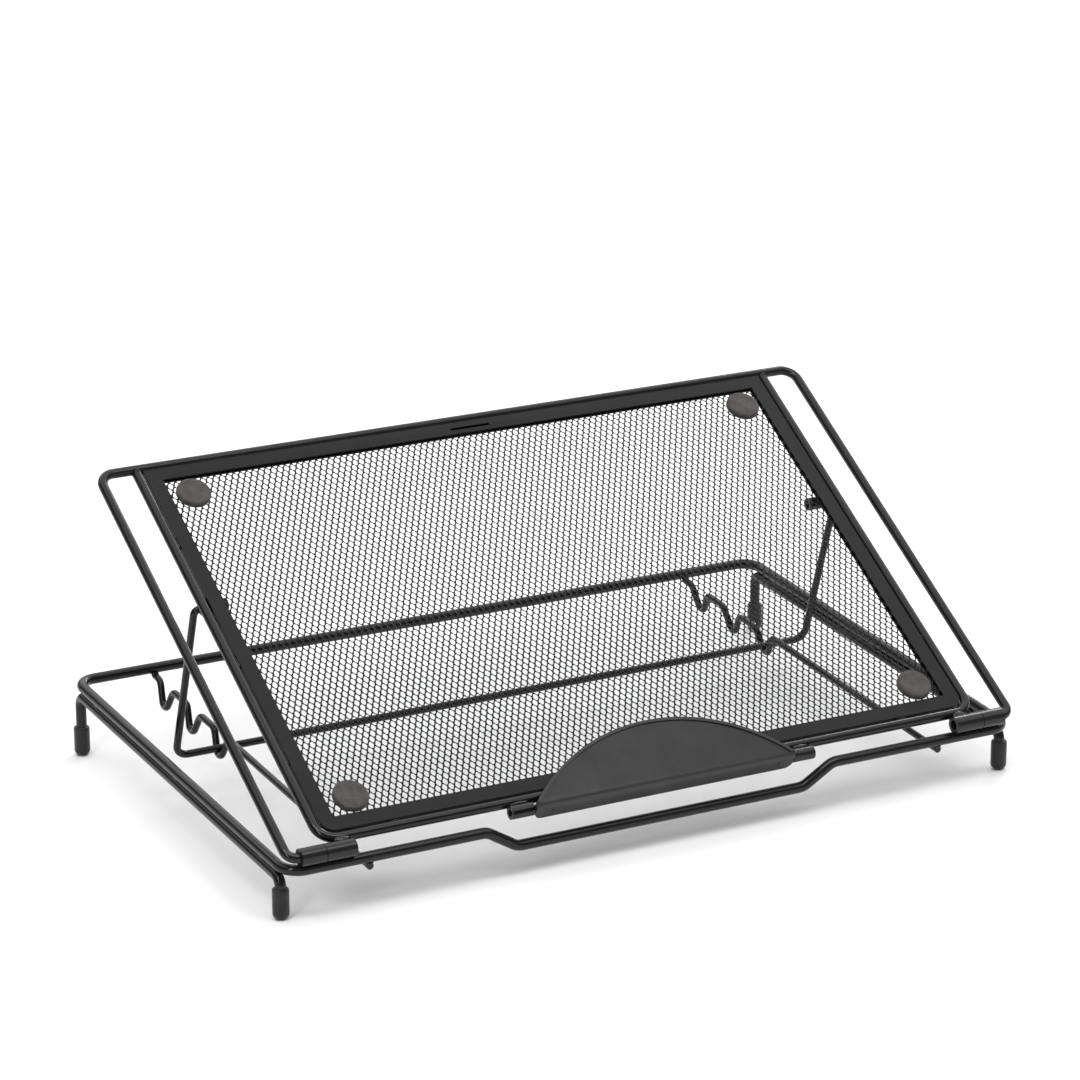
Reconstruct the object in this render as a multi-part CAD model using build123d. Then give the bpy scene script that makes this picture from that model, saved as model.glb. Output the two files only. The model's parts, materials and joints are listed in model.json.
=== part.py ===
from build123d import *
import math
import os

# A folding wire laptop stand: a low base loop on four capped legs, a tilted platform of expanded
# mesh hinged to its front, a bail that props the platform in one of three ratchet notches, and
# a flip-up lip. Millimetres, +Z up, feet on Z = 0, front towards -Y, origin under the middle.

# Overall layout
BASE_SLOPE_DEG = 2.85
PLATFORM_TILT_DEG = 30.46
SIDES = {"left": -1, "right": 1}
WELD_GAP = 0.02
RUNNING_FIT = 0.08

# Base loop
LOOP_WIRE_R = 2.5
LOOP_HALF_WIDTH = 182.5
LOOP_DEPTH = 229.2
LOOP_CORNER_R = 9.0
FRONT_WIRE_Z = 23.17
BUTT_GAP = 0.1
DROP_DEPTH = 9.27
DROP_OUTER_X = 87.5
DROP_INNER_X = 72.5
DROP_BEND_R = 9.0

# Leg wires and foot caps
LEG_WIRE_R = 2.5
FRONT_LEG_SETBACK = 6.8
REAR_LEG_SETBACK = 224.4
LEG_BEND_R = 4.5
CAP_R = 3.7
CAP_HEIGHT = 14.0
CAP_FLOOR = 2.0
CAP_BOTTOM_FILLET = 2.7
CAP_RIM_FILLET = 0.9

# Front hinge, measured from the front wire of the base
HINGE_BACKSET = -1.0
HINGE_RISE = 6.45
BARREL_R = 4.0
PLATFORM_BARREL_X = (151.5, 165.6)
BASE_BARREL_X = (165.9, 177.2)

# Ratchet wires
RATCHET_WIRE_R = 1.65
RATCHET_X = 143.7
RATCHET_LEAN = 0.13
RATCHET_TOP = -3.2
NOTCH_BOTTOM = -13.25
FIRST_NOTCH = 151.65
NOTCH_PITCH = 30.6
NOTCH_COUNT = 3
NOTCH_FLAT = 2.2
NOTCH_REAR_REACH = 8.2
NOTCH_FRONT_REACH = 7.0
NOTCH_BOTTOM_BEND_R = 3.4
NOTCH_TOP_BEND_R = 4.6
RATCHET_FRONT_END = -0.8
RATCHET_REAR_END = 227.1

# Platform wires
FRAME_WIRE_R = 2.25
OUTER_HALF_WIDTH = 182.35
OUTER_TOP = 226.44
OUTER_CORNER_R = 7.0
PIN_BEND_R = 5.0
PIN_END_X = 154.0
INNER_HALF_WIDTH = 164.5
INNER_BOTTOM = 6.4
INNER_CORNER_R = 8.5

# Mesh and its folded border
MESH_THICKNESS = 1.4
MESH_EDGE_GAP = 0.5
BORDER_THICKNESS = 3.0
BORDER_HALF_WIDTH = 161.7
BORDER_BOTTOM = 9.4
BORDER_CORNER_R = 6.0
OPENING_HALF_WIDTH = 154.7
OPENING_BOTTOM = 16.5
OPENING_TOP = 217.3
FOLD_DEPTH = 5.0
SLIT_X = (-7.6, 12.7)
SLIT_S = 220.2
SLIT_WIDTH = 1.4

# Pads
PAD_R = 8.0
PAD_TOP = 3.4
PAD_EDGE_FILLET = 1.1
PAD_REAR = (144.0, 206.3)
PAD_FRONT = (143.0, 25.2)

# Support bail
BAIL_WIRE_R = 1.75
BAIL_PIVOT_S = 145.4
BAIL_ARM_X = 166.5
BAIL_PIN_END_X = 152.0
BAIL_PIN_BEND_R = 3.0
BAIL_CORNER_R = 6.0
SUPPORT_SLEEVE_R = 3.0
SUPPORT_SLEEVE_X = (151.0, 163.5)
SEAT_GAP = 0.05

# Lip
LIP_ROD_R = 1.6
LIP_ROD_HALF = 75.5
LIP_SLEEVE_R = 3.0
LIP_SLEEVE_X = (65.6, 76.5)
LIP_SLOT_WIDTH = 1.5
LIP_SLOT_ANGLE_DEG = 130.0
LIP_SHEET = 1.2
LIP_HALF_WIDTH = 65.2
LIP_REACH = 29.2
LIP_RAISE_DEG = 15.0
LIP_BEND_N = 3.8
LIP_BEND_R = 2.0
LIP_LAP = 0.05
FLANGE_BOTTOM_N = -4.2
FLANGE_CORNER_R = 4.0
LIP_RIM_WIDTH = 1.4
LIP_RIM_HEIGHT = 0.7
DIMPLE_X = 57.0
DIMPLE_R = 1.6
DIMPLE_DEPTH = 0.4

# Placement of the two working planes
slope = math.radians(BASE_SLOPE_DEG)
tilt = math.radians(PLATFORM_TILT_DEG)
front_reach = HINGE_BACKSET * math.cos(slope) - HINGE_RISE * math.sin(slope) - BARREL_R
rear_reach = LOOP_DEPTH * math.cos(slope) + LOOP_WIRE_R
FRONT_Y = -(front_reach + rear_reach) / 2
BASE = Plane(
    origin=(0, FRONT_Y, FRONT_WIRE_Z),
    x_dir=(1, 0, 0),
    z_dir=(0, -math.sin(slope), math.cos(slope)),
)
HINGE = BASE.from_local_coords(Vector(0, HINGE_BACKSET, HINGE_RISE))
PLATFORM = Plane(
    origin=HINGE,
    x_dir=(1, 0, 0),
    z_dir=(0, -math.sin(tilt), math.cos(tilt)),
)

os.makedirs("parts", exist_ok=True)


def save(part, node):
    part.label = node
    export_step(part, f"parts/{node}.step")


def bent_wire(points, bend_radii, wire_radius):
    path = FilletPolyline(*points, radius=bend_radii)
    section = Plane(origin=path @ 0, z_dir=path % 0) * Circle(wire_radius)
    return sweep(section, path=path)


def tube(plane, side, x_range, s, n, outer_radius, inner_radius):
    length = x_range[1] - x_range[0]
    middle = side * (x_range[0] + x_range[1]) / 2
    body = Cylinder(outer_radius, length) - Cylinder(inner_radius, length)
    return plane * Pos(middle, s, n) * Rot(0, 90, 0) * body


def on_base(points):
    return [BASE.from_local_coords(Vector(*point)) for point in points]


def on_platform(points):
    return [PLATFORM.from_local_coords(Vector(*point)) for point in points]


def sloping_height(setback, drop):
    return FRONT_WIRE_Z + setback * math.tan(slope) - drop / math.cos(slope)


# Base loop: one wire, its ends butted in the middle of the back run
loop_half = [
    (BUTT_GAP, LOOP_DEPTH, 0),
    (LOOP_HALF_WIDTH, LOOP_DEPTH, 0),
    (LOOP_HALF_WIDTH, 0, 0),
    (DROP_OUTER_X, 0, 0),
    (DROP_INNER_X, 0, -DROP_DEPTH),
]
loop_points = loop_half + [(-x, u, w) for x, u, w in reversed(loop_half)]
corner_radii = [LOOP_CORNER_R, LOOP_CORNER_R, DROP_BEND_R, DROP_BEND_R]
loop_radii = corner_radii + corner_radii[::-1]
save(bent_wire(on_base(loop_points), loop_radii, LOOP_WIRE_R), "base_loop_wire")

# Leg wires run under the side rails and turn straight down at both ends
leg_drop = LOOP_WIRE_R + LEG_WIRE_R + WELD_GAP
leg_setbacks = {"front": FRONT_LEG_SETBACK, "rear": REAR_LEG_SETBACK}
leg_bottom = CAP_FLOOR + WELD_GAP
for name, side in SIDES.items():
    leg_x = side * LOOP_HALF_WIDTH
    front_y = FRONT_Y + FRONT_LEG_SETBACK
    rear_y = FRONT_Y + REAR_LEG_SETBACK
    leg_points = [
        (leg_x, front_y, leg_bottom),
        (leg_x, front_y, sloping_height(FRONT_LEG_SETBACK, leg_drop)),
        (leg_x, rear_y, sloping_height(REAR_LEG_SETBACK, leg_drop)),
        (leg_x, rear_y, leg_bottom),
    ]
    save(bent_wire(leg_points, LEG_BEND_R, LEG_WIRE_R), f"leg_wire_{name}")

# Foot caps, rounded at the bottom, with a blind bore for the leg
cap = Cylinder(CAP_R, CAP_HEIGHT, align=(Align.CENTER, Align.CENTER, Align.MIN))
cap = fillet(cap.edges().sort_by(Axis.Z)[0], CAP_BOTTOM_FILLET)
cap = fillet(cap.edges().sort_by(Axis.Z)[-1], CAP_RIM_FILLET)
cap_bore = Cylinder(
    LEG_WIRE_R + WELD_GAP,
    CAP_HEIGHT,
    align=(Align.CENTER, Align.CENTER, Align.MIN),
)
cap -= Pos(0, 0, CAP_FLOOR) * cap_bore
for end, setback in leg_setbacks.items():
    for name, side in SIDES.items():
        placed = Pos(side * LOOP_HALF_WIDTH, FRONT_Y + setback, 0) * cap
        save(placed, f"foot_cap_{end}_{name}")

# Ratchet wires: three notches behind a straight run that passes under the front wire
ratchet_front_w = -(LOOP_WIRE_R + RATCHET_WIRE_R + WELD_GAP)
ratchet_profile = [(RATCHET_REAR_END, RATCHET_TOP)]
ratchet_radii = []
for index in reversed(range(NOTCH_COUNT)):
    notch = FIRST_NOTCH + index * NOTCH_PITCH
    ratchet_profile += [
        (notch + NOTCH_REAR_REACH, RATCHET_TOP),
        (notch + NOTCH_FLAT, NOTCH_BOTTOM),
        (notch - NOTCH_FLAT, NOTCH_BOTTOM),
        (notch - NOTCH_FRONT_REACH, RATCHET_TOP),
    ]
    ratchet_radii += [
        NOTCH_TOP_BEND_R,
        NOTCH_BOTTOM_BEND_R,
        NOTCH_BOTTOM_BEND_R,
        NOTCH_TOP_BEND_R,
    ]
ratchet_profile.append((RATCHET_FRONT_END, ratchet_front_w))
for name, side in SIDES.items():
    ratchet_points = [
        (side * (RATCHET_X + RATCHET_LEAN * (RATCHET_TOP - w)), u, w) for u, w in ratchet_profile
    ]
    ratchet = bent_wire(on_base(ratchet_points), ratchet_radii, RATCHET_WIRE_R)
    save(ratchet, f"ratchet_wire_{name}")

# Hinge barrels on the front wire and on the platform, in line on each side
pin_bore_r = FRAME_WIRE_R + RUNNING_FIT
for name, side in SIDES.items():
    base_barrel = tube(PLATFORM, side, BASE_BARREL_X, 0, 0, BARREL_R, pin_bore_r)
    save(base_barrel, f"base_hinge_barrel_{name}")
    platform_barrel = tube(PLATFORM, side, PLATFORM_BARREL_X, 0, 0, BARREL_R, pin_bore_r)
    save(platform_barrel, f"platform_hinge_barrel_{name}")

# Outer platform wire, its ends turned inwards as the hinge pins
outer_half = [
    (PIN_END_X, 0, 0),
    (OUTER_HALF_WIDTH, 0, 0),
    (OUTER_HALF_WIDTH, OUTER_TOP, 0),
]
outer_points = outer_half + [(-x, s, n) for x, s, n in reversed(outer_half)]
outer_radii = [PIN_BEND_R, OUTER_CORNER_R, OUTER_CORNER_R, PIN_BEND_R]
save(bent_wire(on_platform(outer_points), outer_radii, FRAME_WIRE_R), "platform_outer_wire")

# Inner platform wire, a U whose ends abut the top run of the outer wire
inner_top = OUTER_TOP - FRAME_WIRE_R - WELD_GAP
inner_points = [
    (-INNER_HALF_WIDTH, inner_top, 0),
    (-INNER_HALF_WIDTH, INNER_BOTTOM, 0),
    (INNER_HALF_WIDTH, INNER_BOTTOM, 0),
    (INNER_HALF_WIDTH, inner_top, 0),
]
inner = bent_wire(on_platform(inner_points), INNER_CORNER_R, FRAME_WIRE_R)
save(inner, "platform_inner_wire")

# Mesh sheet, held all round in the fold of four mitred border strips
border_top = inner_top
fold_x = OPENING_HALF_WIDTH + FOLD_DEPTH
fold_bottom = OPENING_BOTTOM - FOLD_DEPTH
fold_top = OPENING_TOP + FOLD_DEPTH
fold_middle = (fold_bottom + fold_top) / 2
mesh = Box(
    2 * (fold_x - MESH_EDGE_GAP),
    fold_top - fold_bottom - 2 * MESH_EDGE_GAP,
    MESH_THICKNESS,
)
save(PLATFORM * Pos(0, fold_middle, 0) * mesh, "mesh_sheet")

outer_corners = {
    "bottom_left": (-BORDER_HALF_WIDTH, BORDER_BOTTOM),
    "bottom_right": (BORDER_HALF_WIDTH, BORDER_BOTTOM),
    "top_right": (BORDER_HALF_WIDTH, border_top),
    "top_left": (-BORDER_HALF_WIDTH, border_top),
}
inner_corners = {
    "bottom_left": (-OPENING_HALF_WIDTH, OPENING_BOTTOM),
    "bottom_right": (OPENING_HALF_WIDTH, OPENING_BOTTOM),
    "top_right": (OPENING_HALF_WIDTH, OPENING_TOP),
    "top_left": (-OPENING_HALF_WIDTH, OPENING_TOP),
}
strip_ends = {
    "bottom": ("bottom_left", "bottom_right"),
    "right": ("bottom_right", "top_right"),
    "top": ("top_right", "top_left"),
    "left": ("top_left", "bottom_left"),
}
fold = Pos(0, fold_middle, 0) * Box(
    2 * fold_x,
    fold_top - fold_bottom,
    MESH_THICKNESS + 2 * WELD_GAP,
)
slit = Pos(sum(SLIT_X) / 2, SLIT_S, BORDER_THICKNESS / 2) * Box(
    SLIT_X[1] - SLIT_X[0],
    SLIT_WIDTH,
    BORDER_THICKNESS,
)
field_height = border_top - BORDER_BOTTOM
field = Pos(0, BORDER_BOTTOM + field_height / 2) * Rectangle(2 * BORDER_HALF_WIDTH, field_height)
field = fillet(field.vertices().sort_by(Axis.Y)[:2], BORDER_CORNER_R)
for strip, (start, end) in strip_ends.items():
    outline = Polygon(
        outer_corners[start],
        outer_corners[end],
        inner_corners[end],
        inner_corners[start],
        align=None,
    )
    border = extrude(outline & field, BORDER_THICKNESS / 2, both=True) - fold
    if strip == "top":
        border -= slit
    save(PLATFORM * border, f"border_strip_{strip}")

# Round pads in the four corners of the mesh
pad_bottom = MESH_THICKNESS / 2 + WELD_GAP
pad = Cylinder(PAD_R, PAD_TOP - pad_bottom, align=(Align.CENTER, Align.CENTER, Align.MIN))
pad = fillet(pad.edges().sort_by(Axis.Z)[-1], PAD_EDGE_FILLET)
for end, (pad_x, pad_s) in {"front": PAD_FRONT, "rear": PAD_REAR}.items():
    for name, side in SIDES.items():
        save(PLATFORM * Pos(side * pad_x, pad_s, pad_bottom) * pad, f"pad_{end}_{name}")

# Support bail, its arms turned inwards into sleeves under the inner wire
bail_n = -(FRAME_WIRE_R + SUPPORT_SLEEVE_R + WELD_GAP)
for name, side in SIDES.items():
    sleeve = tube(
        PLATFORM,
        side,
        SUPPORT_SLEEVE_X,
        BAIL_PIVOT_S,
        bail_n,
        SUPPORT_SLEEVE_R,
        BAIL_WIRE_R + RUNNING_FIT,
    )
    save(sleeve, f"support_sleeve_{name}")

pivot = PLATFORM.from_local_coords(Vector(0, BAIL_PIVOT_S, bail_n))
seat_w = NOTCH_BOTTOM + RATCHET_WIRE_R + BAIL_WIRE_R + SEAT_GAP
crossbar = BASE.from_local_coords(Vector(0, FIRST_NOTCH, seat_w))
bail_half = [
    (BAIL_PIN_END_X, pivot.Y, pivot.Z),
    (BAIL_ARM_X, pivot.Y, pivot.Z),
    (BAIL_ARM_X, crossbar.Y, crossbar.Z),
]
bail_points = bail_half + [(-x, y, z) for x, y, z in reversed(bail_half)]
bail_radii = [BAIL_PIN_BEND_R, BAIL_CORNER_R, BAIL_CORNER_R, BAIL_PIN_BEND_R]
save(bent_wire(bail_points, bail_radii, BAIL_WIRE_R), "support_bail_wire")

# Lip sleeves on the bottom run of the inner wire, the left one slotted along its length
lip_s = INNER_BOTTOM - FRAME_WIRE_R - LIP_SLEEVE_R - WELD_GAP
for name, side in SIDES.items():
    sleeve = tube(
        PLATFORM,
        side,
        LIP_SLEEVE_X,
        lip_s,
        0,
        LIP_SLEEVE_R,
        LIP_ROD_R + RUNNING_FIT,
    )
    if name == "left":
        slot = Pos(LIP_SLEEVE_R / 2, 0, 0) * Box(
            LIP_SLEEVE_R,
            LIP_SLOT_WIDTH,
            2 * LIP_SLEEVE_X[1],
        )
        turned = Rot(LIP_SLOT_ANGLE_DEG, 0, 0) * Rot(0, 90, 0) * Rot(0, 0, 90) * slot
        sleeve -= PLATFORM * Pos(0, lip_s, 0) * turned
    save(sleeve, f"lip_sleeve_{name}")

lip_rod = Rot(0, 90, 0) * Cylinder(LIP_ROD_R, 2 * LIP_ROD_HALF)
save(PLATFORM * Pos(0, lip_s, 0) * lip_rod, "lip_pivot_rod")

# Lip plate: a flange in front of the rod, a soft bend, and a half-moon leaf with a raised rim
flange_s = lip_s - LIP_ROD_R - LIP_SHEET / 2 - WELD_GAP
raise_angle = math.radians(LIP_RAISE_DEG)
bend_length = LIP_BEND_R * math.tan((math.pi / 2 - raise_angle) / 2)
bend_end = bend_length + LIP_LAP
lip_line = FilletPolyline(
    (0, flange_s, FLANGE_BOTTOM_N),
    (0, flange_s, LIP_BEND_N),
    (
        0,
        flange_s + bend_end * math.cos(raise_angle),
        LIP_BEND_N + bend_end * math.sin(raise_angle),
    ),
    radius=LIP_BEND_R,
)
lip_section = Plane(origin=lip_line @ 0, x_dir=(1, 0, 0), z_dir=lip_line % 0)
lip = sweep(lip_section * Rectangle(2 * LIP_HALF_WIDTH, LIP_SHEET), path=lip_line)
lip = fillet(lip.edges().filter_by(Axis.Y), FLANGE_CORNER_R)

leaf_plane = Plane(
    origin=(0, flange_s, LIP_BEND_N),
    x_dir=(1, 0, 0),
    z_dir=(0, -math.sin(raise_angle), math.cos(raise_angle)),
)
leaf_rise = LIP_REACH - bend_length
leaf_r = (LIP_HALF_WIDTH**2 + leaf_rise**2) / (2 * leaf_rise)
leaf_middle = Pos(0, LIP_REACH - leaf_r)
leaf_side = Pos(0, bend_length + leaf_r) * Rectangle(4 * leaf_r, 2 * leaf_r)
leaf_outline = leaf_middle * Circle(leaf_r) & leaf_side
rim_outline = leaf_outline - leaf_middle * Circle(leaf_r - LIP_RIM_WIDTH)
lip += leaf_plane * extrude(leaf_outline, LIP_SHEET / 2, both=True)
lip += leaf_plane * extrude(rim_outline, LIP_SHEET / 2 + LIP_RIM_HEIGHT)
dimple_s = flange_s - LIP_SHEET / 2 - DIMPLE_R + DIMPLE_DEPTH
for side in SIDES.values():
    lip -= Pos(side * DIMPLE_X, dimple_s, 0) * Sphere(DIMPLE_R)
save(PLATFORM * lip, "lip_plate")
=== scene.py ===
import json
import math

import bpy
import numpy as np
from mathutils import Matrix, Vector


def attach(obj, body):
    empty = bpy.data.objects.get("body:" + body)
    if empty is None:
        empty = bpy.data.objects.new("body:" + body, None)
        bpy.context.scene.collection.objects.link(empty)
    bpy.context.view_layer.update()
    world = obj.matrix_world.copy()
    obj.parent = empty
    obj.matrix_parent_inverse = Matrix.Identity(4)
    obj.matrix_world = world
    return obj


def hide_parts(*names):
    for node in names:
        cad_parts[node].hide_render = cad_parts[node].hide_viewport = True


# A folding wire laptop stand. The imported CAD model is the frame; this script gives its nodes
# their finish, swaps the plain mesh sheet for expanded metal, and adds weld beads and a studio.
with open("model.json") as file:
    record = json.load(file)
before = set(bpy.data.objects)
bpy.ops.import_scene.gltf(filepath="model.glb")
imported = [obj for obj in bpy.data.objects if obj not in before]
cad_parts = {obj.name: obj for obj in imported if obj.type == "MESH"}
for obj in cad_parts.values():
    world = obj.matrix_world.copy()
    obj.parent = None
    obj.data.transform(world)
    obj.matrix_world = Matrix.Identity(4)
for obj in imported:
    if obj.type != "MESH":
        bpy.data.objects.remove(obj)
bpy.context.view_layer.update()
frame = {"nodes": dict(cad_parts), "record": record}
record = frame["record"]

MM = 0.001
PLATFORM_TILT = math.radians(30.46)
BASE_SLOPE = math.radians(2.85)
HINGE_BACKSET = -1.0
HINGE_RISE = 6.45
SIDES = {"left": -1, "right": 1}

joints = {joint["name"]: joint for joint in record["behaviour"]["joints"]}
hinge = Vector(joints["platform_tilt"]["pos_m"])


def plane_matrix(origin, angle):
    across = Vector((1, 0, 0))
    along = Vector((0, math.cos(angle), math.sin(angle)))
    normal = across.cross(along)
    matrix = Matrix((across, along, normal)).transposed().to_4x4()
    matrix.translation = origin
    return matrix


# The platform's plane starts at the hinge line, and the sloping base's at its front wire
PLATFORM = plane_matrix(hinge, PLATFORM_TILT)
front_to_hinge = Vector((0, HINGE_BACKSET * MM, HINGE_RISE * MM))
BASE = plane_matrix(hinge - plane_matrix(Vector(), BASE_SLOPE) @ front_to_hinge, BASE_SLOPE)


# Materials. Noise scales are per metre; heights are in millimetres
CLOUD_SCALE = 60.0
SMUDGE_SCALE = 18.0
# Painted highlight on sharp edges: the pointiness range, how pale, and how strongly it is mixed in
EDGE_POINTINESS = (0.53, 0.60)
EDGE_HIGHLIGHT_PALENESS = 2.6
PAINTED_EDGE_HIGHLIGHT = 0.45
GRAIN_HEIGHT = 0.06
PEEL_SHARE = 0.28
PEEL_STRENGTH = 0.22
PEEL_HEIGHT = 0.10
MOTTLE_SCALE = 240.0
GLOSS_SCALE = 90.0
DUST_AMOUNT = 0.55
DUST_THRESHOLD = (0.58, 0.74)
DUST_PALENESS = 2.1
PIT_STRENGTH = 0.5
PIT_HEIGHT = 0.12


def new_material(name):
    material = bpy.data.materials.new(name)
    material.use_nodes = True
    tree = material.node_tree
    tree.nodes.clear()
    output = tree.nodes.new("ShaderNodeOutputMaterial")
    shader = tree.nodes.new("ShaderNodeBsdfPrincipled")
    tree.links.new(shader.outputs["BSDF"], output.inputs["Surface"])
    return material, tree, shader


def noise(tree, scale, detail=4.0, roughness=0.55):
    coords = tree.nodes.new("ShaderNodeTexCoord")
    texture = tree.nodes.new("ShaderNodeTexNoise")
    texture.inputs["Scale"].default_value = scale
    texture.inputs["Detail"].default_value = detail
    texture.inputs["Roughness"].default_value = roughness
    tree.links.new(coords.outputs["Object"], texture.inputs["Vector"])
    return texture.outputs["Fac"]


def ramp(tree, value, low, high, start=0.35, end=0.65):
    node = tree.nodes.new("ShaderNodeMapRange")
    node.inputs["From Min"].default_value = start
    node.inputs["From Max"].default_value = end
    node.inputs["To Min"].default_value = low
    node.inputs["To Max"].default_value = high
    tree.links.new(value, node.inputs["Value"])
    return node.outputs["Result"]


def mix_colour(tree, factor, first, second):
    node = tree.nodes.new("ShaderNodeMix")
    node.data_type = "RGBA"
    tree.links.new(factor, node.inputs["Factor"])
    for key, colour in (("A", first), ("B", second)):
        socket = [i for i in node.inputs if i.name == key and i.type == "RGBA"][0]
        if isinstance(colour, tuple):
            socket.default_value = (*colour, 1.0)
        else:
            tree.links.new(colour, socket)
    return [o for o in node.outputs if o.type == "RGBA"][0]


def bump(tree, shader, layers):
    previous = None
    for height, strength, distance in layers:
        node = tree.nodes.new("ShaderNodeBump")
        node.inputs["Strength"].default_value = strength
        node.inputs["Distance"].default_value = distance
        tree.links.new(height, node.inputs["Height"])
        if previous is not None:
            tree.links.new(previous, node.inputs["Normal"])
        previous = node.outputs["Normal"]
    tree.links.new(previous, shader.inputs["Normal"])


def powder_coat(name, dark, light, roughness, grain, grain_strength, specular):
    """Black powder coat: cloudy colour, sharp edges made paler as a painted highlight, smudged
    gloss and orange peel.
    """
    material, tree, shader = new_material(name)
    clouds = ramp(tree, noise(tree, CLOUD_SCALE), 0.0, 1.0)
    colour = mix_colour(tree, clouds, dark, light)
    # Painted highlight: sharp edges are mixed towards a paler colour in the base colour, standing
    # in for the light they catch
    pointiness = tree.nodes.new("ShaderNodeNewGeometry").outputs["Pointiness"]
    edges = ramp(tree, pointiness, 0.0, 1.0, *EDGE_POINTINESS)
    painted_edge_colour = tuple(channel * EDGE_HIGHLIGHT_PALENESS for channel in light)
    colour = mix_colour(tree, ramp(tree, edges, 0.0, PAINTED_EDGE_HIGHLIGHT, 0.0, 1.0), colour, painted_edge_colour)
    tree.links.new(colour, shader.inputs["Base Color"])
    smudge = ramp(tree, noise(tree, SMUDGE_SCALE, 6.0), *roughness)
    tree.links.new(smudge, shader.inputs["Roughness"])
    shader.inputs["Specular IOR Level"].default_value = specular
    shader.inputs["Coat Weight"].default_value = 0.02
    shader.inputs["Coat Roughness"].default_value = 0.3
    fine = noise(tree, grain, 3.0)
    orange_peel = noise(tree, grain * PEEL_SHARE, 2.0)
    layers = [
        (fine, grain_strength, GRAIN_HEIGHT * MM),
        (orange_peel, PEEL_STRENGTH, PEEL_HEIGHT * MM),
    ]
    bump(tree, shader, layers)
    return material


def rubber(name, dark, light, roughness, speckle):
    """Matte rubber: mottled colour with pale dust specks and a fine pitted skin."""
    material, tree, shader = new_material(name)
    clouds = ramp(tree, noise(tree, MOTTLE_SCALE, 5.0, 0.6), 0.0, 1.0)
    colour = mix_colour(tree, clouds, dark, light)
    dust = ramp(tree, noise(tree, speckle, 2.0), 0.0, DUST_AMOUNT, *DUST_THRESHOLD)
    dust_colour = tuple(channel * DUST_PALENESS for channel in light)
    colour = mix_colour(tree, dust, colour, dust_colour)
    tree.links.new(colour, shader.inputs["Base Color"])
    gloss = ramp(tree, noise(tree, GLOSS_SCALE), *roughness)
    tree.links.new(gloss, shader.inputs["Roughness"])
    shader.inputs["Specular IOR Level"].default_value = 0.35
    shader.inputs["Sheen Weight"].default_value = 0.12
    bump(tree, shader, [(noise(tree, speckle, 4.0), PIT_STRENGTH, PIT_HEIGHT * MM)])
    return material


MATERIALS = {
    "coated_wire": powder_coat(
        "wire coat",
        dark=(0.0030, 0.0030, 0.0032),
        light=(0.0060, 0.0060, 0.0065),
        roughness=(0.16, 0.27),
        grain=2600.0,
        grain_strength=0.18,
        specular=0.34,
    ),
    "coated_sheet": powder_coat(
        "sheet coat",
        dark=(0.0036, 0.0036, 0.0038),
        light=(0.0075, 0.0075, 0.0080),
        roughness=(0.34, 0.48),
        grain=2600.0,
        grain_strength=0.40,
        specular=0.12,
    ),
    "coated_lip": powder_coat(
        "lip coat",
        dark=(0.0100, 0.0098, 0.0102),
        light=(0.0190, 0.0185, 0.0190),
        roughness=(0.30, 0.44),
        grain=1500.0,
        grain_strength=0.60,
        specular=0.34,
    ),
    "coated_mesh": powder_coat(
        "mesh coat",
        dark=(0.0030, 0.0030, 0.0032),
        light=(0.0065, 0.0065, 0.0070),
        roughness=(0.28, 0.42),
        grain=3200.0,
        grain_strength=0.20,
        specular=0.14,
    ),
    "foot_rubber": rubber(
        "foot rubber",
        dark=(0.006, 0.006, 0.0062),
        light=(0.012, 0.012, 0.0125),
        roughness=(0.40, 0.55),
        speckle=2200.0,
    ),
    "pad_rubber": rubber(
        "pad rubber",
        dark=(0.040, 0.036, 0.034),
        light=(0.066, 0.059, 0.056),
        roughness=(0.75, 0.92),
        speckle=1500.0,
    ),
}
for subpart in record["subparts"]:
    node = frame["nodes"][subpart["node"]]
    material = MATERIALS[subpart["material_slot"]]
    node.data.materials.clear()
    node.data.materials.append(material)


def link_mesh(name, vertices, faces):
    data = bpy.data.meshes.new(name)
    data.from_pydata(vertices, [], faces)
    data.update()
    piece = bpy.data.objects.new(name, data)
    bpy.context.scene.collection.objects.link(piece)
    return piece


def finish_piece(piece, body, slot_name, smooth=True):
    piece.data.materials.append(MATERIALS[slot_name])
    if smooth:
        piece.data.shade_smooth()
    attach(piece, body)


# Expanded mesh, in platform millimetres: diamonds with their long way front to back
DIAMOND_X = 1.60
DIAMOND_S = 2.96
STRAND = 0.78
SHEET_HALF = 0.17
TWIST = 0.34
FIELD_X = 158.6
FIELD_S = (12.3, 221.4)
RING_POINTS = 8
SIDE_BULGE = 1.14
SIDE_TIP_PULL = 0.98
END_TIP_PULL = 0.90
MIDDLE_SHARE = 0.55
EDGE_THINNING = 0.72


def diamond_rings():
    """The cell's outline, a line between, and the opening's edge, each of eight points."""
    side = math.hypot(DIAMOND_X, DIAMOND_S)
    inner_x = DIAMOND_X - STRAND / 2 * side / DIAMOND_S
    inner_s = DIAMOND_S - STRAND / 2 * side / DIAMOND_X
    across = (1, 0.5, 0, -0.5, -1, -0.5, 0, 0.5)
    along = (0, 0.5, 1, 0.5, 0, -0.5, -1, -0.5)
    outer = []
    inner = []
    for step, (x, s) in enumerate(zip(across, along)):
        outer.append((x * DIAMOND_X, s * DIAMOND_S, 0.0))
        if step % 2:
            pull = SIDE_BULGE
        else:
            pull = SIDE_TIP_PULL if s == 0 else END_TIP_PULL
        inner.append((x * inner_x * pull, s * inner_s * pull, x * TWIST))
    outer = np.array(outer)
    inner = np.array(inner)
    middle = outer * (1 - MIDDLE_SHARE) + inner * MIDDLE_SHARE
    return outer, middle, inner


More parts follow.
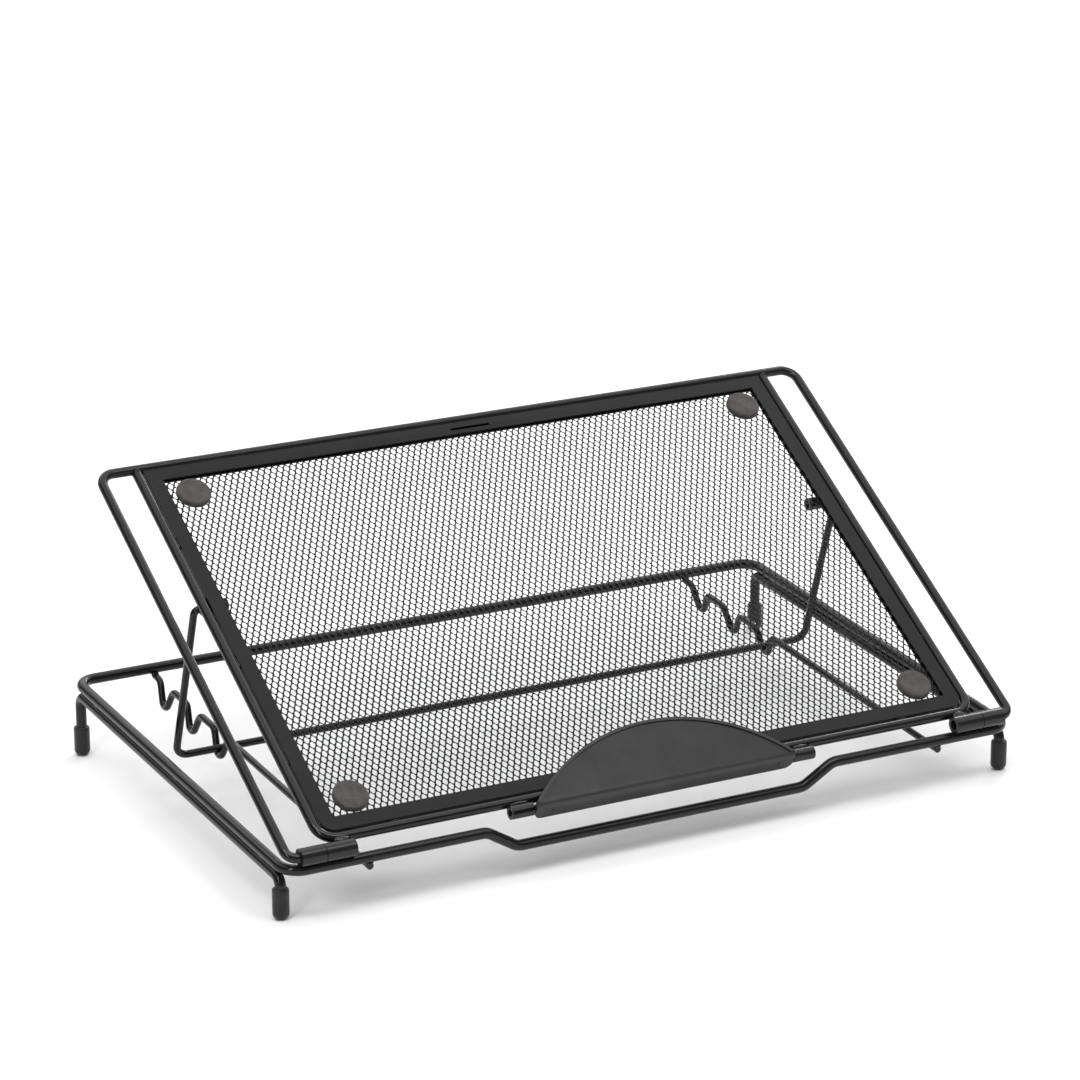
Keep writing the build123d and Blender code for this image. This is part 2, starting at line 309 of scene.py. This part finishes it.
def diamond_cell():
    """Vertices and quads of one cell: down the top face, through the opening, and back under."""
    outer, middle, inner = diamond_rings()
    thick = np.array((0, 0, SHEET_HALF))
    thin = thick * EDGE_THINNING
    top = [outer + thick, middle + thick, inner + thin]
    under = [inner - thin, middle - thick, outer - thick]
    rings = top + under
    quads = []
    for band in range(len(rings) - 1):
        for step in range(RING_POINTS):
            near = band * RING_POINTS + step
            ahead = band * RING_POINTS + (step + 1) % RING_POINTS
            quads.append((near, ahead, ahead + RING_POINTS, near + RING_POINTS))
    return np.vstack(rings), np.array(quads)


def diamond_centres():
    columns = int(FIELD_X / DIAMOND_X) - 1
    centres = []
    for column in range(-columns, columns + 1):
        row = FIELD_S[0] + DIAMOND_S + (DIAMOND_S if column % 2 else 0.0)
        while row + DIAMOND_S <= FIELD_S[1]:
            centres.append((column * DIAMOND_X, row, 0.0))
            row += 2 * DIAMOND_S
    return np.array(centres)


def expanded_mesh():
    cell, quads = diamond_cell()
    centres = diamond_centres()
    vertices = (centres[:, None, :] + cell[None, :, :]).reshape(-1, 3) * MM
    starts = np.arange(len(centres))[:, None, None] * len(cell)
    faces = (starts + quads[None]).reshape(-1, 4)
    piece = link_mesh("expanded_mesh", vertices.tolist(), faces.tolist())
    piece.matrix_world = PLATFORM
    return piece


mesh_piece = expanded_mesh()
finish_piece(mesh_piece, "platform", "coated_mesh", smooth=False)
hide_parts("mesh_sheet")


# Weld beads: lumpy ellipsoids partly sunk in the pieces they join
BEAD_AROUND = 20
BEAD_DOWN = 12
BEAD_WAVES = 3
BEAD_RIPPLE = 0.035
BEAD_SAG = 0.03


def bead(name, body, plane, centre, radii, seed):
    """One weld bead; centre and radii are millimetres in the plane's own axes."""
    rng = np.random.default_rng(seed)
    waves = rng.uniform(0, 2 * math.pi, 2 * BEAD_WAVES)
    vertices = []
    for down in range(BEAD_DOWN + 1):
        polar = math.pi * down / BEAD_DOWN
        for around in range(BEAD_AROUND):
            turn = 2 * math.pi * around / BEAD_AROUND
            level = math.sin(polar)
            direction = (level * math.cos(turn), level * math.sin(turn), math.cos(polar))
            lump = 1.0
            for k in range(BEAD_WAVES):
                lump += BEAD_RIPPLE * math.sin((k + 2) * turn + waves[k]) * level**2
                lump += BEAD_SAG * math.sin((k + 2) * polar + waves[k + BEAD_WAVES])
            point = Vector([direction[a] * radii[a] * lump + centre[a] for a in range(3)])
            vertices.append(tuple(point * MM))
    faces = []
    for down in range(BEAD_DOWN):
        for around in range(BEAD_AROUND):
            here = down * BEAD_AROUND
            ahead = (around + 1) % BEAD_AROUND
            below = here + BEAD_AROUND
            faces.append((here + around, below + around, below + ahead, here + ahead))
    piece = link_mesh(name, vertices, faces)
    piece.matrix_world = plane
    finish_piece(piece, body, "coated_wire")


# Name, centre and radii of the beads on the right; the ones on the left mirror their places
BASE_BEADS = (
    ("barrel_weld", (171.5, 0.4, 2.9), (4.2, 2.0, 1.3)),
    ("ratchet_front_weld", (143.8, 0.6, -2.7), (2.0, 2.4, 1.2)),
    ("ratchet_rear_weld", (143.7, 227.3, -2.6), (1.9, 1.7, 1.4)),
    ("rail_weld_front", (182.5, 24.0, -2.5), (1.5, 4.0, 1.1)),
    ("rail_weld_middle", (182.5, 114.0, -2.5), (1.5, 4.0, 1.1)),
    ("rail_weld_rear", (182.5, 204.0, -2.5), (1.5, 4.0, 1.1)),
)
PLATFORM_BEADS = (
    ("inner_barrel_weld", (156.0, 4.1, 1.6), (3.4, 1.6, 1.0)),
    ("inner_barrel_weld_under", (156.0, 4.1, -1.6), (3.4, 1.6, 1.0)),
    ("frame_top_weld", (164.5, 224.0, 0.0), (2.5, 1.3, 2.5)),
    ("support_sleeve_weld", (162.3, 145.4, -2.3), (1.9, 3.0, 1.0)),
    ("lip_sleeve_weld", (71.0, 4.15, 1.4), (4.4, 1.1, 0.9)),
    ("lip_sleeve_weld_under", (71.0, 4.15, -1.4), (4.4, 1.1, 0.9)),
    ("strip_weld_0", (161.95, 52.0, 0.0), (0.9, 3.6, 1.1)),
    ("strip_weld_1", (161.95, 108.0, 0.0), (0.9, 3.6, 1.1)),
    ("strip_weld_2", (161.95, 180.0, 0.0), (0.9, 3.6, 1.1)),
)
CROSS_STRIP_WELD_X = (-128.0, -46.0, 46.0, 128.0)
BOTTOM_STRIP_S = 9.0
BOTTOM_STRIP_RADII = (3.4, 0.9, 1.1)
TOP_STRIP_S = 224.2
TOP_STRIP_RADII = (3.4, 0.8, 1.1)
TOP_SEED_OFFSET = 40
BUTT_WELD_CENTRE = (0.0, 229.2, 0.0)
BUTT_WELD_RADII = (1.6, 2.66, 2.66)
BUTT_WELD_SEED = 99

seed = 1
for tag, side in SIDES.items():
    for body, plane, beads in (("base", BASE, BASE_BEADS), ("platform", PLATFORM, PLATFORM_BEADS)):
        for name, (x, along, up), radii in beads:
            seed += 1
            bead(f"{name}_{tag}", body, plane, (side * x, along, up), radii, seed)
for row, x in enumerate(CROSS_STRIP_WELD_X):
    seed += 1
    bottom = (x, BOTTOM_STRIP_S, 0.0)
    bead(f"bottom_strip_weld_{row}", "platform", PLATFORM, bottom, BOTTOM_STRIP_RADII, seed)
    top = (x, TOP_STRIP_S, 0.0)
    top_seed = seed + TOP_SEED_OFFSET
    bead(f"top_strip_weld_{row}", "platform", PLATFORM, top, TOP_STRIP_RADII, top_seed)
bead("loop_butt_weld", "base", BASE, BUTT_WELD_CENTRE, BUTT_WELD_RADII, BUTT_WELD_SEED)

# Floor, in metres
FLOOR_REACH = 300.0
FLOOR_CLOUD_SCALE = 3.0
FLOOR_SHADES = ((0.86, 0.86, 0.86), (0.88, 0.88, 0.88))
floor_corners = [
    (-FLOOR_REACH, -FLOOR_REACH, 0),
    (FLOOR_REACH, -FLOOR_REACH, 0),
    (FLOOR_REACH, FLOOR_REACH, 0),
    (-FLOOR_REACH, FLOOR_REACH, 0),
]
floor = link_mesh("floor", floor_corners, [(0, 1, 2, 3)])
floor_material, floor_tree, floor_shader = new_material("pale floor")
floor_clouds = ramp(floor_tree, noise(floor_tree, FLOOR_CLOUD_SCALE), 0.0, 1.0)
floor_colour = mix_colour(floor_tree, floor_clouds, *FLOOR_SHADES)
floor_tree.links.new(floor_colour, floor_shader.inputs["Base Color"])
floor_shader.inputs["Roughness"].default_value = 0.9
floor_shader.inputs["Specular IOR Level"].default_value = 0.1
floor.data.materials.append(floor_material)

# Light: a dim white world, a broad soft sun for the floor, and narrow strips for highlights
world = bpy.data.worlds.new("studio")
world.use_nodes = True
background = world.node_tree.nodes["Background"]
background.inputs["Color"].default_value = (1.0, 1.0, 1.0, 1.0)
background.inputs["Strength"].default_value = 0.28
bpy.context.scene.world = world

SKY_DIRECTION = Vector((-0.25, -0.30, -1.0))
LIGHT_TARGET = Vector((0.0, 0.0, 0.06))


def area_light(name, place, size, power):
    data = bpy.data.lights.new(name, "AREA")
    data.shape = "RECTANGLE"
    data.size, data.size_y = size
    data.energy = power
    light = bpy.data.objects.new(name, data)
    bpy.context.scene.collection.objects.link(light)
    light.location = place
    light.rotation_euler = (LIGHT_TARGET - Vector(place)).to_track_quat("-Z", "Y").to_euler()


sun_data = bpy.data.lights.new("soft sky", "SUN")
sun_data.energy = 2.7
sun_data.angle = math.radians(110)
sun = bpy.data.objects.new("soft sky", sun_data)
bpy.context.scene.collection.objects.link(sun)
sun.rotation_euler = SKY_DIRECTION.to_track_quat("-Z", "Y").to_euler()
area_light("left window", place=(-1.3, -0.9, 1.1), size=(0.10, 1.5), power=7.0)
area_light("ceiling strip", place=(-0.2, -0.5, 1.5), size=(1.6, 0.10), power=8.0)
area_light("right rim", place=(1.2, 1.0, 0.8), size=(0.12, 1.2), power=7.0)

# Camera: the photograph's viewpoint, as fitted to the wires, corners and feet
CAMERA_PLACE = (-0.87704, -1.62178, 0.72192)
CAMERA_HEADING = Vector((0.45118, 0.83480, -0.31552))
camera_data = bpy.data.cameras.new("camera")
camera_data.sensor_width = 36.0
camera_data.lens = 142.27
camera_data.clip_start = 0.05
camera_data.clip_end = 50.0
camera = bpy.data.objects.new("camera", camera_data)
bpy.context.scene.collection.objects.link(camera)
camera.location = CAMERA_PLACE
camera.rotation_mode = "QUATERNION"
camera.rotation_quaternion = CAMERA_HEADING.to_track_quat("-Z", "Y")
bpy.context.scene.camera = camera
bpy.context.scene.view_settings.view_transform = "Standard"
